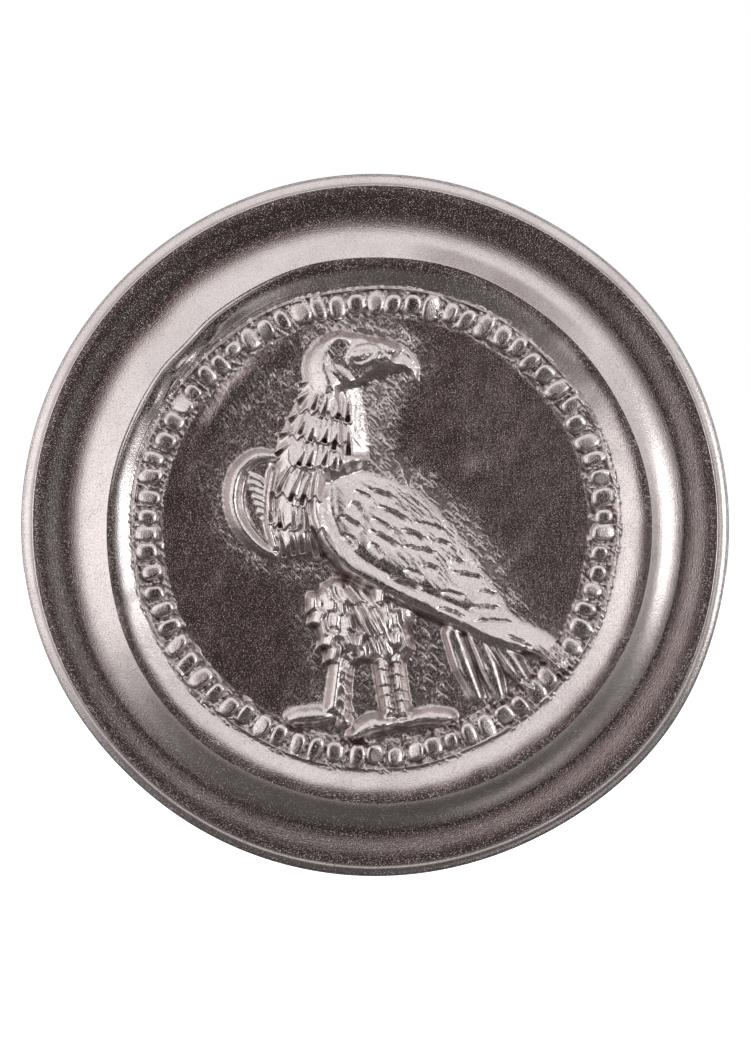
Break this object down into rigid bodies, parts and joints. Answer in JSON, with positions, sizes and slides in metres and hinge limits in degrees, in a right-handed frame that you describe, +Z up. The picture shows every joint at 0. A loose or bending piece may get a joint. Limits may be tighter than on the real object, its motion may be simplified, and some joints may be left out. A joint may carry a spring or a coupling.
{
  "type": "harness phalera",
  "caption": "Round embossed metal award disc with an eagle in relief, a beaded border and a hollow rim, carried on a harness by strap loops behind.",
  "frame": {"origin": "on the disc's axis, in the rear plane of the turned-over edge that bears on the harness", "axes": "+Z up as worn, +X to the viewer's right, and the face looks along -Y, so +Y points out of the back"},
  "size_m": [0.075, 0.0104, 0.075],
  "materials": {
    "silvered_sheet": "silvered sheet, darkened in the hollows, hand polished",
    "pitch": "hard dark pitch",
    "plate_copper": "dull hammered copper with brown patina",
    "loop_brass": "worn brass strip",
    "rivet_copper": "hammered copper rivet"
  },
  "bodies": {
    "root": {"embossed_face": "silvered_sheet", "filler_core": "pitch", "back_plate": "plate_copper", "strap_loop_top": "loop_brass", "rivet_top_near": "rivet_copper", "rove_top_near": "rivet_copper", "rivet_top_far": "rivet_copper", "rove_top_far": "rivet_copper", "strap_loop_right": "loop_brass", "rivet_right_near": "rivet_copper", "rove_right_near": "rivet_copper", "rivet_right_far": "rivet_copper", "rove_right_far": "rivet_copper", "strap_loop_bottom": "loop_brass", "rivet_bottom_near": "rivet_copper", "rove_bottom_near": "rivet_copper", "rivet_bottom_far": "rivet_copper", "rove_bottom_far": "rivet_copper", "strap_loop_left": "loop_brass", "rivet_left_near": "rivet_copper", "rove_left_near": "rivet_copper", "rivet_left_far": "rivet_copper", "rove_left_far": "rivet_copper"}
  },
  "joints": []
}
